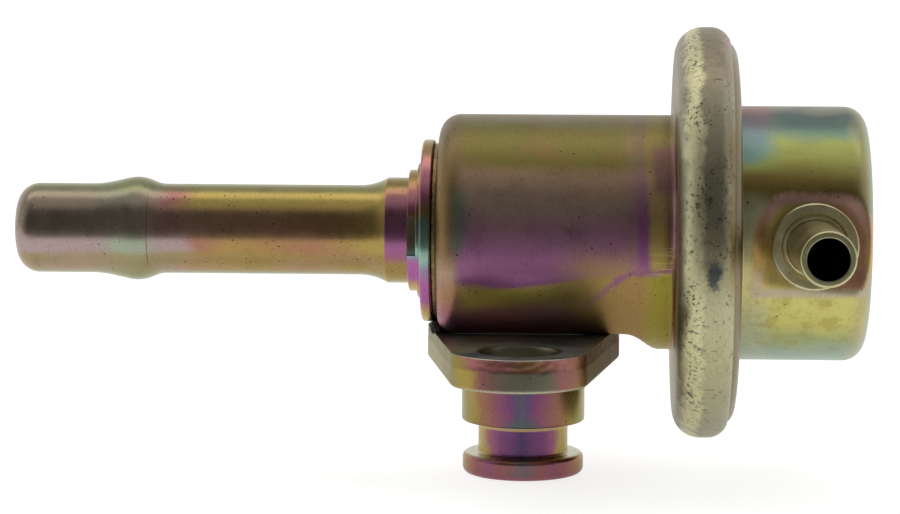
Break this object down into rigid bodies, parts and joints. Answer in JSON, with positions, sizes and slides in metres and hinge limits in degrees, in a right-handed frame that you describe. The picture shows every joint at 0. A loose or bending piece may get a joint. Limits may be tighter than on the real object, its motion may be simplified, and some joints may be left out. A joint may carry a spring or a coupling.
{
  "type": "fuel pressure regulator",
  "caption": "Plated steel fuel pressure regulator with a rolled rim, flanged inlet spigot, hose return tube and side vacuum nipple; a sprung diaphragm lifts a valve off its seat.",
  "frame": {"origin": "inlet spigot's axis at the underside of the mounting flange, which seats on the fuel rail", "axes": "+X along the main axis to the cap, -Y to the vacuum nipple, +Z away from the rail"},
  "size_m": [0.0754, 0.0442, 0.0399],
  "materials": {
    "zinc_yellow": "iridescent yellow chromate over zinc",
    "zinc_pale": "pale iridescent chromate over zinc",
    "zinc_bronze": "bronze-gold chromate over zinc",
    "braze": "dull",
    "bare_steel": "turned",
    "ball_steel": "polished",
    "spring_steel": "drawn wire",
    "rubber": "matt"
  },
  "bodies": {
    "housing": {"body_cup": "zinc_yellow", "cap_shell": "zinc_pale", "outlet_tube": "zinc_bronze", "seat_stem": "bare_steel", "lock_ring": "zinc_yellow", "end_washer": "zinc_yellow", "seal_washer": "braze", "mounting_flange": "zinc_yellow", "inlet_spigot": "zinc_yellow", "vacuum_nipple": "zinc_bronze", "diaphragm": "rubber", "main_spring": "spring_steel"},
    "valve_assembly": {"diaphragm_plate": "bare_steel", "spring_seat": "bare_steel", "valve_holder": "bare_steel", "valve_plate": "bare_steel", "valve_ball": "ball_steel", "ball_retainer": "bare_steel", "ball_spring": "spring_steel"}
  },
  "joints": [
    {"name": "valve_lift", "type": "slide", "parent": "housing", "child": "valve_assembly", "axis": [1, 0, 0], "range_m": [0, 0.0008], "stiffness_N_per_m": 9000, "springref_m": -0.012, "deforming": ["main_spring", "diaphragm"]}
  ]
}
